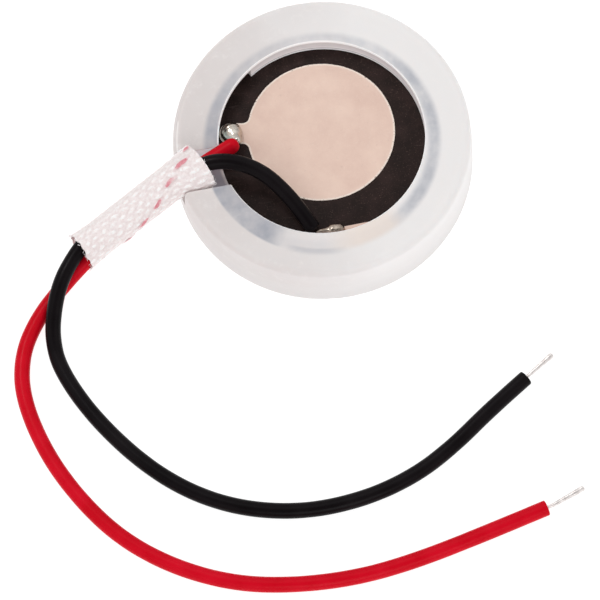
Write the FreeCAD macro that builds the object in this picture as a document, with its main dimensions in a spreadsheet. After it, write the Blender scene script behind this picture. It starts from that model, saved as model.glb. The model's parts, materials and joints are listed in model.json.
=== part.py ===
import FreeCAD, Part

import math
import os

import Sketcher
from FreeCAD import Placement, Rotation, Vector

# An ultrasonic atomising disc: a piezo ceramic in a silicone seal ring, with two leads.
# Millimetres, +Z up. The origin is on the ring's axis at its front face, and the ring lies
# on that face with the soldered back of the disc up. The cable leaves towards -X.

SIZES = [
    ("ring_radius", 12.75, "outer wall of the seal ring"),
    ("ring_top_radius", 12.63, "outer wall at the back face, after its slight taper"),
    ("ring_height", 5.8, "front face to back face"),
    ("taper_start", 3.1, "height where the outer wall starts to taper"),
    ("ring_round", 0.6, "round on both outer edges"),
    ("lip_radius", 8.77, "back opening"),
    ("lip_round", 0.15, "round on the back opening's edge"),
    ("groove_radius", 10.05, "groove that holds the disc"),
    ("window_radius", 8.8, "front opening at the disc"),
    ("window_mouth", 9.8, "front opening at the front face"),
    ("window_flare", 1.2, "depth of the flared mouth"),
    ("slot_heading", 184.5, "direction of the cable slot"),
    ("slot_offset", 1.06, "slot centre line to the ring's axis"),
    ("slot_width", 3.6, "between the slot's side walls"),
    ("slot_floor", 4.38, "height of the slot's floor over the disc"),
    ("outlet_floor", 2.9, "height of the slot's floor beyond the disc"),
    ("outlet_start", 10.28, "where the floor drops, along the slot"),
    ("relief_radius", 10.2, "pocket under the lip, on both sides of the cable slot"),
    ("relief_top", 5.35, "height of the pocket's ceiling"),
    ("relief_start", 128, "where the pocket starts"),
    ("relief_end", 246, "where the pocket ends"),
    ("skin_bottom", 4.25, "height of the pocket's ceiling under the cable slot"),
    ("skin_start", 176, "where the low ceiling starts"),
    ("skin_end", 206.5, "where the low ceiling ends"),
    ("trough_radius", 1.78, "channel that the sleeve presses into the slot's walls"),
    ("bed_radius", 0.8, "hollow that the red lead presses into the slot's wall"),
    ("bed_length", 2.75, "length of that hollow"),
    ("bed_heading", 205.2, "direction of that hollow, away from the disc"),
    ("bed_x", -8, "inner end of that hollow"),
    ("bed_y", 0.03, "inner end of that hollow"),
    ("bed_z", 5.23, "inner end of that hollow"),
    ("disc_radius", 10, "piezo ceramic"),
    ("disc_thickness", 1.2, "piezo ceramic"),
    ("disc_front", 2.85, "height of the ceramic's front face"),
    ("electrode_thickness", 0.03, "fired silver paste"),
    ("glaze_thickness", 0.05, "protective coat on the front"),
    ("back_radius", 6.3, "round back electrode"),
    ("back_offset", 1.12, "back electrode's centre to the ring's axis"),
    ("neck_width", 1.9, "back electrode's tab"),
    ("neck_heading", 174, "direction of the tab"),
    ("tab_radius", 1, "round solder pad at the tab's end"),
    ("tab_x", -7.65, "solder pad's centre"),
    ("tab_y", 1.85, "solder pad's centre"),
    ("wrap_heading", 264, "where the wrapped electrode starts round the edge"),
    ("wrap_span", 42, "degrees the wrapped electrode runs round"),
    ("wrap_chord", 7.78, "wrapped electrode's straight edge to the disc's centre"),
    ("wrap_chord_heading", 275, "direction that the straight edge faces away from"),
    ("lead_radius", 0.67, "outside of the insulation"),
    ("wire_radius", 0.22, "stranded conductor"),
    ("tinned_radius", 0.25, "solder-coated tip"),
    ("sleeve_wall", 0.2, "thickness of the braid"),
    ("mouth_wall", 0.1, "thickness of the braid where it is spread"),
    ("sleeve_length", 12.69, "mouth to mouth"),
    ("sleeve_x", -10.7, "start of the sleeve's axis"),
    ("sleeve_y", -1.14, "start of the sleeve's axis"),
    ("sleeve_z", 5.85, "start of the sleeve's axis"),
    ("sleeve_heading", 207.33, "direction of the sleeve away from the disc"),
    ("sleeve_fall", 18, "degrees the sleeve falls below level"),
    ("tracer_proud", 0.095, "how far the coloured yarn stands out of the braid"),
    ("tracer_length", 1.3, "one float of the coloured yarn"),
    ("tracer_width", 0.36, "one float of the coloured yarn"),
    ("tracer_slant", 15, "degrees between a float and the sleeve's axis"),
]

# Each lead's centre line, from the disc to the end of its insulation.
RED_ROUTE = [
    (-7.1, 0.45, 5.4), (-9.12, -0.5, 5.15), (-10.4, -1.25, 5.2), (-12.2, -1.95, 4.63),
    (-14.36, -2.95, 3.75), (-17.4, -4.9, 2.65), (-20.4, -6.74, 1.6), (-23.3, -9.1, 0.68),
    (-25.6, -11.7, 0.68), (-27.2, -14.8, 0.68), (-27.5, -18.6, 0.68), (-26.0, -23.7, 0.68),
    (-23.5, -28.2, 0.68), (-20.3, -32.1, 0.68), (-16.1, -35.1, 0.68), (-11.2, -37.1, 0.68),
    (-6.2, -37.8, 0.68), (-1.0, -37.7, 0.68), (3.9, -36.8, 0.68), (9.7, -35.15, 0.68),
    (15.3, -33.4, 0.68),
]
BLACK_ROUTE = [
    (-1.45, -8.1, 4.85), (-2.3, -6.6, 5.3), (-3.7, -4.56, 5.9), (-5.4, -2.8, 6.35),
    (-7.6, -1.75, 6.68), (-9.8, -1.58, 6.65), (-11.95, -2.22, 6.04), (-14.9, -3.37, 5.0),
    (-17.75, -4.5, 3.97), (-20.5, -5.66, 2.9), (-22.0, -7.2, 2.5), (-23.3, -9.22, 2.35),
    (-24.1, -11.46, 1.8), (-24.5, -13.8, 0.95), (-24.1, -16.5, 0.68), (-21.8, -20.9, 0.68),
    (-18.1, -25.5, 0.68), (-14.2, -28.7, 0.68), (-9.8, -30.7, 0.68), (-4.7, -31.5, 0.68),
    (0.4, -30.9, 0.68), (4.8, -29.3, 0.68), (8.3, -27.0, 0.68), (11.6, -24.2, 0.68),
    (14.9, -21.75, 0.68),
]
# Bare wire beyond the insulation: a short bend at the red lead's mouth, then straight.
RED_TIP_END = (18.63, -31.98, 0.68)
BLACK_TIP_LENGTH = 3.1
TIP_BEND = 0.6
SOLDERED_STUB = 0.3
TIP_CAP = 0.05
REACH_SHARE = 0.45

# Cross sections down the sleeve: distance, half width, half height, shift towards -Y, tilt in
# degrees, and how far its top runs ahead of its middle for each millimetre of half height.
# The upper end is flattened and spread where it lies in the slot, and both ends are cut askew.
SLEEVE_SECTIONS = [
    (0, 2.14, 1.46, 0.44, 12, 0.5), (1.2, 1.92, 1.67, 0.24, 10, 0.1),
    (2.4, 1.68, 1.63, 0.03, 3, 0), (3.4, 1.625, 1.625, 0, 0, 0),
    (10.78, 1.625, 1.625, 0, 0, 0), (12.69, 1.76, 1.72, 0, 0, 0.35),
]
OUTLINE_POINTS = 32

# Distance down the sleeve and angle round it of each visible float of coloured yarn.
TRACER_FLOATS = [(0.3, 147), (1.2, 111), (2.7, 76), (4.6, 41), (6.7, 15), (8.7, -22), (10.6, -57)]

doc = FreeCAD.newDocument("atomising_disc")
sheet = doc.addObject("Spreadsheet::Sheet", "Sizes")
for row, (alias, value, meaning) in enumerate(SIZES, start=1):
    sheet.set("A%d" % row, alias)
    sheet.set("B%d" % row, str(value))
    sheet.set("C%d" % row, meaning)
    sheet.setAlias("B%d" % row, alias)
doc.recompute()

nodes = []


def size(expression):
    """Value of an expression over the sheet, such as "Sizes.ring_radius / 2"."""
    return float(sheet.evalExpression(expression))


def new_body(name):
    body = doc.addObject("PartDesign::Body", name)
    body.Label = name
    nodes.append(body)
    return body


def new_feature(name, shape, placement=Placement()):
    feature = doc.addObject("Part::Feature", name)
    feature.Label = name
    feature.Shape = shape
    feature.Placement = placement
    nodes.append(feature)


def add_cylinder(body, kind, radius, bottom, top, centre=("0", "0"), turn="0", angle="360"):
    """Upright cylinder in a body. kind is Additive or Subtractive."""
    cylinder = body.newObject("PartDesign::%sCylinder" % kind, body.Name + "_cylinder")
    cylinder.setExpression("Radius", radius)
    cylinder.setExpression("Height", "(%s) - (%s)" % (top, bottom))
    cylinder.setExpression("Angle", angle)
    cylinder.setExpression(
        "Placement",
        "placement(vector(%s; %s; %s); rotation(%s; 0; 0))" % (centre[0], centre[1], bottom, turn),
    )


def add_box(body, kind, heading, along, across, upright):
    """Box in a body, turned about Z. Each pair holds its near and far side on one axis."""
    box = body.newObject("PartDesign::%sBox" % kind, body.Name + "_box")
    for side, (near, far) in zip(("Length", "Width", "Height"), (along, across, upright)):
        box.setExpression(side, "(%s) - (%s)" % (far, near))
    corner = (along[0], heading, across[0], heading)
    x = "(%s) * cos(%s) - (%s) * sin(%s)" % corner
    y = "(%s) * sin(%s) + (%s) * cos(%s)" % corner
    box.setExpression(
        "Placement",
        "placement(vector(%s; %s; %s); rotation(%s; 0; 0))" % (x, y, upright[0], heading),
    )


def add_profile(body, corners):
    """Closed sketch in a body's XZ plane. Each corner's radius and height come from the sheet."""
    sketch = body.newObject("Sketcher::SketchObject", body.Name + "_profile")
    plane = next(item for item in body.Origin.OriginFeatures if item.Role == "XZ_Plane")
    sketch.AttachmentSupport = [(plane, "")]
    sketch.MapMode = "FlatFace"
    points = [Vector(size(radius), size(height), 0) for radius, height in corners]
    for start, end in zip(points, points[1:] + points[:1]):
        sketch.addGeometry(Part.LineSegment(start, end), False)
    for index, (radius, height) in enumerate(corners):
        following = (index + 1) % len(corners)
        sketch.addConstraint(Sketcher.Constraint("Coincident", index, 2, following, 1))
        across = Sketcher.Constraint("DistanceX", -1, 1, index, 1, points[index].x)
        sketch.setExpression("Constraints[%d]" % sketch.addConstraint(across), radius)
        if height == "0":
            sketch.addConstraint(Sketcher.Constraint("PointOnObject", index, 1, -1))
            continue
        up = Sketcher.Constraint("DistanceY", -1, 1, index, 1, points[index].y)
        sketch.setExpression("Constraints[%d]" % sketch.addConstraint(up), height)
    return sketch


def revolve(body, sketch):
    revolution = body.newObject("PartDesign::Revolution", body.Name + "_revolution")
    revolution.Profile = sketch
    revolution.ReferenceAxis = (sketch, ["V_Axis"])
    revolution.Angle = 360
    return revolution


def round_edges(body, base, radius, circles):
    """Fillet the base's circular edges that match a (radius, height) pair."""
    doc.recompute()
    wanted = [(size(edge_radius), size(height)) for edge_radius, height in circles]
    names = []
    for number, edge in enumerate(base.Shape.Edges, start=1):
        if not isinstance(edge.Curve, Part.Circle):
            continue
        for edge_radius, height in wanted:
            same_radius = abs(edge.Curve.Radius - edge_radius) < 0.001
            if same_radius and abs(edge.Curve.Center.z - height) < 0.001:
                names.append("Edge%d" % number)
    fillet = body.newObject("PartDesign::Fillet", body.Name + "_round")
    fillet.Base = (base, names)
    fillet.setExpression("Radius", radius)
    body.Tip = fillet
    return fillet


GROOVE_FRONT = "Sizes.disc_front - Sizes.electrode_thickness - Sizes.glaze_thickness"
FRONT_LAYER = "Sizes.disc_front - Sizes.electrode_thickness"
DISC_BACK = "Sizes.disc_front + Sizes.disc_thickness"
BACK_LAYER = "Sizes.disc_front + Sizes.disc_thickness + Sizes.electrode_thickness"
SLEEVE_AXIS = (
    "placement(vector(Sizes.sleeve_x; Sizes.sleeve_y; Sizes.sleeve_z);"
    " rotation(Sizes.sleeve_heading; 90 + Sizes.sleeve_fall; 0))"
)
BED_AXIS = (
    "placement(vector(Sizes.bed_x; Sizes.bed_y; Sizes.bed_z);"
    " rotation(Sizes.bed_heading; 90; 0))"
)


def build_seal_ring():
    """Soft ring: a groove grips the disc, and the cable leaves through a slot in the back."""
    ring = new_body("seal_ring")
    profile = add_profile(ring, [
        ("Sizes.ring_radius", "0"),
        ("Sizes.ring_radius", "Sizes.taper_start"),
        ("Sizes.ring_top_radius", "Sizes.ring_height"),
        ("Sizes.lip_radius", "Sizes.ring_height"),
        ("Sizes.lip_radius", BACK_LAYER),
        ("Sizes.groove_radius", BACK_LAYER),
        ("Sizes.groove_radius", GROOVE_FRONT),
        ("Sizes.window_radius", GROOVE_FRONT),
        ("Sizes.window_radius", "Sizes.window_flare"),
        ("Sizes.window_mouth", "0"),
    ])
    turned = revolve(ring, profile)
    outside = [("Sizes.ring_radius", "0"), ("Sizes.ring_top_radius", "Sizes.ring_height")]
    rounded = round_edges(ring, turned, "Sizes.ring_round", outside)
    inside = [("Sizes.lip_radius", "Sizes.ring_height"), ("Sizes.window_mouth", "0")]
    round_edges(ring, rounded, "Sizes.lip_round", inside)
    add_box(
        ring, "Subtractive", "Sizes.slot_heading",
        along=("Sizes.lip_radius / 2", "Sizes.ring_radius + 1"),
        across=("Sizes.slot_offset - Sizes.slot_width / 2",
                "Sizes.slot_offset + Sizes.slot_width / 2"),
        upright=("Sizes.slot_floor", "Sizes.ring_height + 1"),
    )
    add_box(
        ring, "Subtractive", "Sizes.slot_heading",
        along=("Sizes.outlet_start", "Sizes.ring_radius + 1"),
        across=("Sizes.slot_offset - Sizes.slot_width / 2",
                "Sizes.slot_offset + Sizes.slot_width / 2"),
        upright=("Sizes.outlet_floor", "Sizes.slot_floor + 0.5"),
    )
    pockets = [
        ("Sizes.relief_start", "Sizes.skin_start", "Sizes.relief_top"),
        ("Sizes.skin_start", "Sizes.skin_end", "Sizes.skin_bottom"),
        ("Sizes.skin_end", "Sizes.relief_end", "Sizes.relief_top"),
    ]
    for start, end, ceiling in pockets:
        add_cylinder(
            ring, "Subtractive", "Sizes.relief_radius", BACK_LAYER, ceiling,
            turn=start, angle="%s - %s" % (end, start),
        )
    hollows = [
        ("seal_ring_trough", "Sizes.trough_radius", "Sizes.sleeve_length", SLEEVE_AXIS),
        ("seal_ring_bed", "Sizes.bed_radius", "Sizes.bed_length", BED_AXIS),
    ]
    for name, radius, length, axis in hollows:
        hollow = ring.newObject("PartDesign::SubtractiveCylinder", name)
        hollow.setExpression("Radius", radius)
        hollow.setExpression("Height", length)
        hollow.setExpression("Placement", axis)


def build_disc():
    """Ceramic disc, with the electrode and the coat that cover its whole front."""
    disc = new_body("piezo_disc")
    add_cylinder(disc, "Additive", "Sizes.disc_radius", "Sizes.disc_front", DISC_BACK)
    front = new_body("front_electrode")
    add_cylinder(front, "Additive", "Sizes.disc_radius", FRONT_LAYER, "Sizes.disc_front")
    glaze = new_body("front_glaze")
    add_cylinder(glaze, "Additive", "Sizes.disc_radius", GROOVE_FRONT, FRONT_LAYER)


def build_edge_electrode():
    """Front electrode carried round the disc's edge to a pad on the back."""
    edge = new_body("edge_electrode")
    sector = {"turn": "Sizes.wrap_heading", "angle": "Sizes.wrap_span"}
    outside = "Sizes.disc_radius + Sizes.electrode_thickness"
    add_cylinder(edge, "Additive", outside, FRONT_LAYER, BACK_LAYER, **sector)
    add_cylinder(edge, "Subtractive", "Sizes.disc_radius", FRONT_LAYER, DISC_BACK)
    add_box(
        edge, "Subtractive", "Sizes.wrap_chord_heading",
        along=("0 - Sizes.disc_radius", "Sizes.wrap_chord"),
        across=("0 - 2 * Sizes.disc_radius", "2 * Sizes.disc_radius"),
        upright=(DISC_BACK, BACK_LAYER + " + 1"),
    )


def build_back_electrode():
    """Round electrode with a tab that ends in a solder pad."""
    back = new_body("back_electrode")
    middle = ("0", "Sizes.back_offset")
    add_cylinder(back, "Additive", "Sizes.back_radius", DISC_BACK, BACK_LAYER, centre=middle)
    pad = ("Sizes.tab_x", "Sizes.tab_y")
    add_cylinder(back, "Additive", "Sizes.tab_radius", DISC_BACK, BACK_LAYER, centre=pad)
    pad_along = "Sizes.tab_x * cos(Sizes.neck_heading) + Sizes.tab_y * sin(Sizes.neck_heading)"
    pad_across = "Sizes.tab_y * cos(Sizes.neck_heading) - Sizes.tab_x * sin(Sizes.neck_heading)"
    add_box(
        back, "Additive", "Sizes.neck_heading",
        along=("Sizes.back_radius / 2", pad_along),
        across=(pad_across + " - Sizes.neck_width / 2", pad_across + " + Sizes.neck_width / 2"),
        upright=(DISC_BACK, BACK_LAYER),
    )


def direction(start, end):
    """Unit vector from one point to another."""
    return (end - start).normalize()


def route_edges(points, report=None):
    """Straight runs between points, joined by arcs that are tangent to both runs."""
    edges = []
    radii = []
    start = points[0]
    for before, corner, after in zip(points, points[1:], points[2:]):
        into = direction(before, corner)
        out = direction(corner, after)
        half_turn = into.getAngle(out) / 2
        reach = REACH_SHARE * min((corner - before).Length, (after - corner).Length)
        radius = reach / math.tan(half_turn)
        inward = (out - into).normalize()
        arc_start = corner - into * reach
        arc_middle = corner + inward * (radius / math.cos(half_turn) - radius)
        arc_end = corner + out * reach
        edges.append(Part.LineSegment(start, arc_start).toShape())
        edges.append(Part.Arc(arc_start, arc_middle, arc_end).toShape())
        start = arc_end
        radii.append(radius)
    edges.append(Part.LineSegment(start, points[-1]).toShape())
    if report:
        length = sum(edge.Length for edge in edges)
        print("%s: length %.2f mm, tightest bend %.2f mm" % (report, length, min(radii)))
    return edges


def rod(edges, radius):
    """Round rod along connected edges."""
    first = edges[0]
    start = first.valueAt(first.FirstParameter)
    heading = first.tangentAt(first.FirstParameter)
    section = Part.Wire([Part.makeCircle(radius, start, heading)])
    solid = Part.Wire(edges).makePipeShell([section], True, False)
    length = sum(edge.Length for edge in edges)
    expected = math.pi * radius ** 2 * length
    print("  rod volume %.3f mm3, section by length %.3f mm3" % (solid.Volume, expected))
    return solid


def build_lead(colour, route, tip_points):
    """Insulation, stranded conductor and tinned tip of one lead."""
    points = [Vector(*point) for point in route]
    wire_radius = size("Sizes.wire_radius")
    covered = route_edges(points, colour + " lead")
    outward = direction(points[1], points[0])
    stub = route_edges([points[0] + outward * SOLDERED_STUB, points[0]])
    tip = route_edges([points[-1]] + tip_points)
    conductor = rod(stub + covered + tip, wire_radius)
    insulation = rod(covered, size("Sizes.lead_radius")).cut(rod(covered, wire_radius))
    last_run = direction(([points[-1]] + tip_points)[-2], tip_points[-1])
    cap = route_edges([tip_points[-1], tip_points[-1] + last_run * TIP_CAP])
    tinning = rod(tip + cap, size("Sizes.tinned_radius")).cut(conductor)
    new_feature(colour + "_insulation", insulation)
    new_feature(colour + "_conductor", conductor)
    new_feature(colour + "_tip_tinning", tinning)


def bead(start, start_radius, end, end_radius):
    """Tapered rod of solder with a ball at each end."""
    rod_between = Part.makeCone(start_radius, end_radius, (end - start).Length, start, end - start)
    balls = [Part.makeSphere(start_radius, start), Part.makeSphere(end_radius, end)]
    return rod_between.multiFuse(balls)


def lead_start(route):
    """Straight first stretch of a lead's insulation, and the bare wire that sticks out of it."""
    start = Vector(*route[0])
    heading = direction(start, Vector(*route[1]))
    covered = (Vector(*route[1]) - start).Length * (1 - REACH_SHARE)
    wire = Part.makeCylinder(
        size("Sizes.wire_radius"), SOLDERED_STUB, start - heading * SOLDERED_STUB, heading,
    )
    return [Part.makeCylinder(size("Sizes.lead_radius"), covered, start, heading), wire]


def build_solder(name, beads, route):
    """Solder that stands on its electrode and holds the end of one lead's wire."""
    blob = beads[0].multiFuse(beads[1:])
    pad = size(BACK_LAYER)
    below = Part.makeBox(30, 30, 10, Vector(-15, -15, pad - 10))
    for solid in [below] + lead_start(route):
        blob = blob.cut(solid)
    new_feature(name, max(blob.Solids, key=lambda piece: piece.Volume))


def sleeve_form(growth, mouth_growth):
    """Solid through the sleeve's sections, grown by so much, in the sleeve's own frame.

    Its +Z runs down the sleeve, its +X points down and its +Y towards the part's -Y side.
    """
    outlines = []
    for distance, half_width, half_height, shift, tilt, lead in SLEEVE_SECTIONS:
        at_mouth = distance in (0, SLEEVE_SECTIONS[-1][0])
        grown = mouth_growth if at_mouth else growth
        turn = math.radians(tilt)
        across = Vector(math.sin(turn), math.cos(turn), 0)
        up = Vector(-math.cos(turn), math.sin(turn), -lead)
        points = []
        for step in range(OUTLINE_POINTS):
            angle = 2 * math.pi * step / OUTLINE_POINTS
            aside = across * (half_width + grown) * math.cos(angle)
            upwards = up * (half_height + grown) * math.sin(angle)
            points.append(Vector(0, shift, distance) + aside + upwards)
        outline = Part.BSplineCurve()
        outline.interpolate(Points=points, PeriodicFlag=True)
        outlines.append(Part.Wire([outline.toShape()]))
    return Part.makeLoft(outlines, True, True)


def build_sleeve():
    """Glass-fibre braid over both leads."""
    walls = (size("Sizes.sleeve_wall"), size("Sizes.mouth_wall"))
    braid = sleeve_form(0, 0).cut(sleeve_form(-walls[0], -walls[1]))
    new_feature("braided_sleeve", braid, sleeve_placement())


def sleeve_placement():
    start = Vector(size("Sizes.sleeve_x"), size("Sizes.sleeve_y"), size("Sizes.sleeve_z"))
    heading = size("Sizes.sleeve_heading")
    return Placement(start, Rotation(heading, 90 + size("Sizes.sleeve_fall"), 0))


def build_tracer():
    """Coloured yarn that shows as short floats on a long spiral round the sleeve."""
    length = size("Sizes.tracer_length")
    width = size("Sizes.tracer_width")
    proud = size("Sizes.tracer_proud")
    skin = sleeve_form(proud, proud).cut(sleeve_form(0, 0))
    floats = []
    for distance, around in TRACER_FLOATS:
        block = Part.makeBox(2, width, length, Vector(1, -width / 2, -length / 2))
        block.rotate(Vector(), Vector(1, 0, 0), size("Sizes.tracer_slant"))
        block.translate(Vector(0, 0, distance))
        # Angles start at the sleeve's -Y side and pass over its top. Its own +X points down.
        block.rotate(Vector(), Vector(0, 0, 1), 90 + around)
        floats.append(block.common(skin))
    new_feature("sleeve_tracer", Part.makeCompound(floats), sleeve_placement())


build_seal_ring()
build_disc()
build_edge_electrode()
build_back_electrode()
build_sleeve()
doc.recompute()

red_end = Vector(*RED_ROUTE[-1])
red_heading = direction(Vector(*RED_ROUTE[-2]), red_end)
build_lead("red", RED_ROUTE, [red_end + red_heading * TIP_BEND, Vector(*RED_TIP_END)])
black_end = Vector(*BLACK_ROUTE[-1])
black_heading = direction(Vector(*BLACK_ROUTE[-2]), black_end)
build_lead("black", BLACK_ROUTE, [black_end + black_heading * BLACK_TIP_LENGTH])

red_ball = bead(Vector(-7.6, 1.85, 4.18), 0.93, Vector(-7.58, 1.8, 4.2), 0.9)
red_tail = bead(Vector(-7.55, 1.6, 4.5), 0.62, Vector(-6.95, 0.55, 5.3), 0.4)
build_solder("red_solder_joint", [red_ball, red_tail], RED_ROUTE)
black_bead = bead(Vector(-0.3, -8.1, 4.42), 0.58, Vector(0.65, -8.08, 4.36), 0.56)
black_tail = bead(Vector(-0.2, -8.1, 4.5), 0.5, Vector(-1.22, -8.2, 4.68), 0.4)
build_solder("black_solder_joint", [black_bead, black_tail], BLACK_ROUTE)
build_tracer()
doc.recompute()

os.makedirs("parts", exist_ok=True)
for node in nodes:
    faults = [state for state in node.State if state in ("Invalid", "Error")]
    if faults or node.Shape.isNull() or not node.Shape.isValid():
        raise RuntimeError("%s did not build: %s" % (node.Label, node.State))
    node.Shape.exportStep("parts/%s.step" % node.Label)
    box = node.Shape.BoundBox
    print("%-20s %d solids, %.3f mm3, x %.2f..%.2f y %.2f..%.2f z %.2f..%.2f" % (
        node.Label, len(node.Shape.Solids), node.Shape.Volume,
        box.XMin, box.XMax, box.YMin, box.YMax, box.ZMin, box.ZMax,
    ))
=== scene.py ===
import json
import math

import bpy
import numpy as np
from mathutils import Matrix, Vector

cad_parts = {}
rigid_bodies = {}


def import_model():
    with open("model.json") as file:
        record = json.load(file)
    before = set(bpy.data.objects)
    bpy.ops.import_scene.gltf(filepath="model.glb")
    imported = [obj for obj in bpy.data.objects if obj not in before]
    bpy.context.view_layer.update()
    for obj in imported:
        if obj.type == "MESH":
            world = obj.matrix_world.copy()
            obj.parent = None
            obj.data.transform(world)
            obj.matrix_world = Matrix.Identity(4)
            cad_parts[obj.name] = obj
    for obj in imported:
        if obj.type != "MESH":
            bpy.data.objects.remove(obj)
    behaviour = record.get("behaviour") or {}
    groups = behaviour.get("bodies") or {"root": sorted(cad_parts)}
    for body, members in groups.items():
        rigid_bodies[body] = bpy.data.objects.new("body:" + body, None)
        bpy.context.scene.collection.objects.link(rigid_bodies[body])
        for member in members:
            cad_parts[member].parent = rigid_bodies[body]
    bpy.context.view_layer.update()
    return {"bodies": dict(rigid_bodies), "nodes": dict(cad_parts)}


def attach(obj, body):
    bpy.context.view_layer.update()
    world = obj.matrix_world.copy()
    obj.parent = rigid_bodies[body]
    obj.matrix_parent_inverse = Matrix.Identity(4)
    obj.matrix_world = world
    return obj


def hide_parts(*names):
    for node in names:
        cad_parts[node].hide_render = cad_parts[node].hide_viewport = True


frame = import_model()
MM = 0.001
BODY = next(iter(frame["bodies"]))
NODES = frame["nodes"]


# ---------------------------------------------------------------- camera, floor and light

CAMERA_TILT = math.radians(20.92)
CAMERA_ROLL = math.radians(-6.165)
CAMERA_AIM = Vector((-3.314, -12.348, 0)) * MM
CAMERA_DISTANCE = 450
CAMERA_LENS = 318


def place_camera():
    """Long lens above the part, tilted towards -Y and rolled a little."""
    back = Vector((0, -math.sin(CAMERA_TILT), math.cos(CAMERA_TILT)))
    level_up = Vector((0, math.cos(CAMERA_TILT), math.sin(CAMERA_TILT)))
    level_right = Vector((1, 0, 0))
    right = level_right * math.cos(CAMERA_ROLL) + level_up * math.sin(CAMERA_ROLL)
    up = level_up * math.cos(CAMERA_ROLL) - level_right * math.sin(CAMERA_ROLL)
    data = bpy.data.cameras.new("camera")
    data.lens = CAMERA_LENS
    data.clip_start = 0.01
    camera = bpy.data.objects.new("camera", data)
    axes = Matrix((right, up, back)).transposed().to_4x4()
    place = CAMERA_AIM + back * CAMERA_DISTANCE * MM
    camera.matrix_world = Matrix.Translation(place) @ axes
    bpy.context.collection.objects.link(camera)
    bpy.context.scene.camera = camera


def add_light(name, place, size, power):
    """Round white light that points at the part's origin."""
    data = bpy.data.lights.new(name, "AREA")
    data.shape = "DISK"
    data.size = size
    data.energy = power
    light = bpy.data.objects.new(name, data)
    light.location = place
    light.rotation_euler = (-Vector(place)).to_track_quat("-Z", "Y").to_euler()
    bpy.context.collection.objects.link(light)


def make_floor():
    """White floor, a hair below the part so that no two faces coincide."""
    half, height = 1.5, -2e-5
    mesh = bpy.data.meshes.new("floor")
    corners = [
        (-half, -half, height), (half, -half, height), (half, half, height), (-half, half, height),
    ]
    mesh.from_pydata(corners, [], [(0, 1, 2, 3)])
    floor = bpy.data.objects.new("floor", mesh)
    bpy.context.collection.objects.link(floor)
    graph = Graph("floor_white")
    graph.set(Base_Color=(0.3, 0.3, 0.3, 1), Roughness=0.9, Specular_IOR_Level=0.1)
    graph.set(Emission_Color=(1, 1, 1, 1), Emission_Strength=0.9)
    mesh.materials.append(graph.material)


OPENING_AXIS = (0, -0.357, 0.934)
OPENING_RIM = (0.84, 0.93)  # cosine of the angle to the axis, at the rim's outside and inside
OPENING_LIGHT = 0.22
WORLD_LOW = (0.5, 0.5, 0.51, 1)
WORLD_HIGH = (0.95, 0.95, 0.95, 1)
WORLD_HIGH_FROM = 0.75
WORLD_STRENGTH = 0.95


def light_world():
    """White studio, darker towards the floor, with a darker opening in its ceiling."""
    world = bpy.data.worlds.new("studio")
    world.use_nodes = True
    bpy.context.scene.world = world
    nodes, links = world.node_tree.nodes, world.node_tree.links
    background = nodes["Background"]
    direction = nodes.new("ShaderNodeTexCoord").outputs["Generated"]

    split = nodes.new("ShaderNodeSeparateXYZ")
    ramp = nodes.new("ShaderNodeValToRGB")
    low, high = ramp.color_ramp.elements
    low.position, low.color = 0.0, WORLD_LOW
    high.position, high.color = WORLD_HIGH_FROM, WORLD_HIGH
    links.new(direction, split.inputs[0])
    links.new(split.outputs["Z"], ramp.inputs[0])

    toward = nodes.new("ShaderNodeVectorMath")
    toward.operation = "DOT_PRODUCT"
    toward.inputs[1].default_value = OPENING_AXIS
    links.new(direction, toward.inputs[0])
    opening = nodes.new("ShaderNodeMapRange")
    opening.interpolation_type = "SMOOTHSTEP"
    opening.inputs["From Min"].default_value = OPENING_RIM[0]
    opening.inputs["From Max"].default_value = OPENING_RIM[1]
    opening.inputs["To Min"].default_value = 1.0
    opening.inputs["To Max"].default_value = OPENING_LIGHT
    links.new(toward.outputs["Value"], opening.inputs["Value"])

    shaded = nodes.new("ShaderNodeVectorMath")
    shaded.operation = "SCALE"
    links.new(ramp.outputs[0], shaded.inputs[0])
    links.new(opening.outputs[0], shaded.inputs["Scale"])
    links.new(shaded.outputs["Vector"], background.inputs["Color"])
    background.inputs["Strength"].default_value = WORLD_STRENGTH


# ---------------------------------------------------------------- materials

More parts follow.
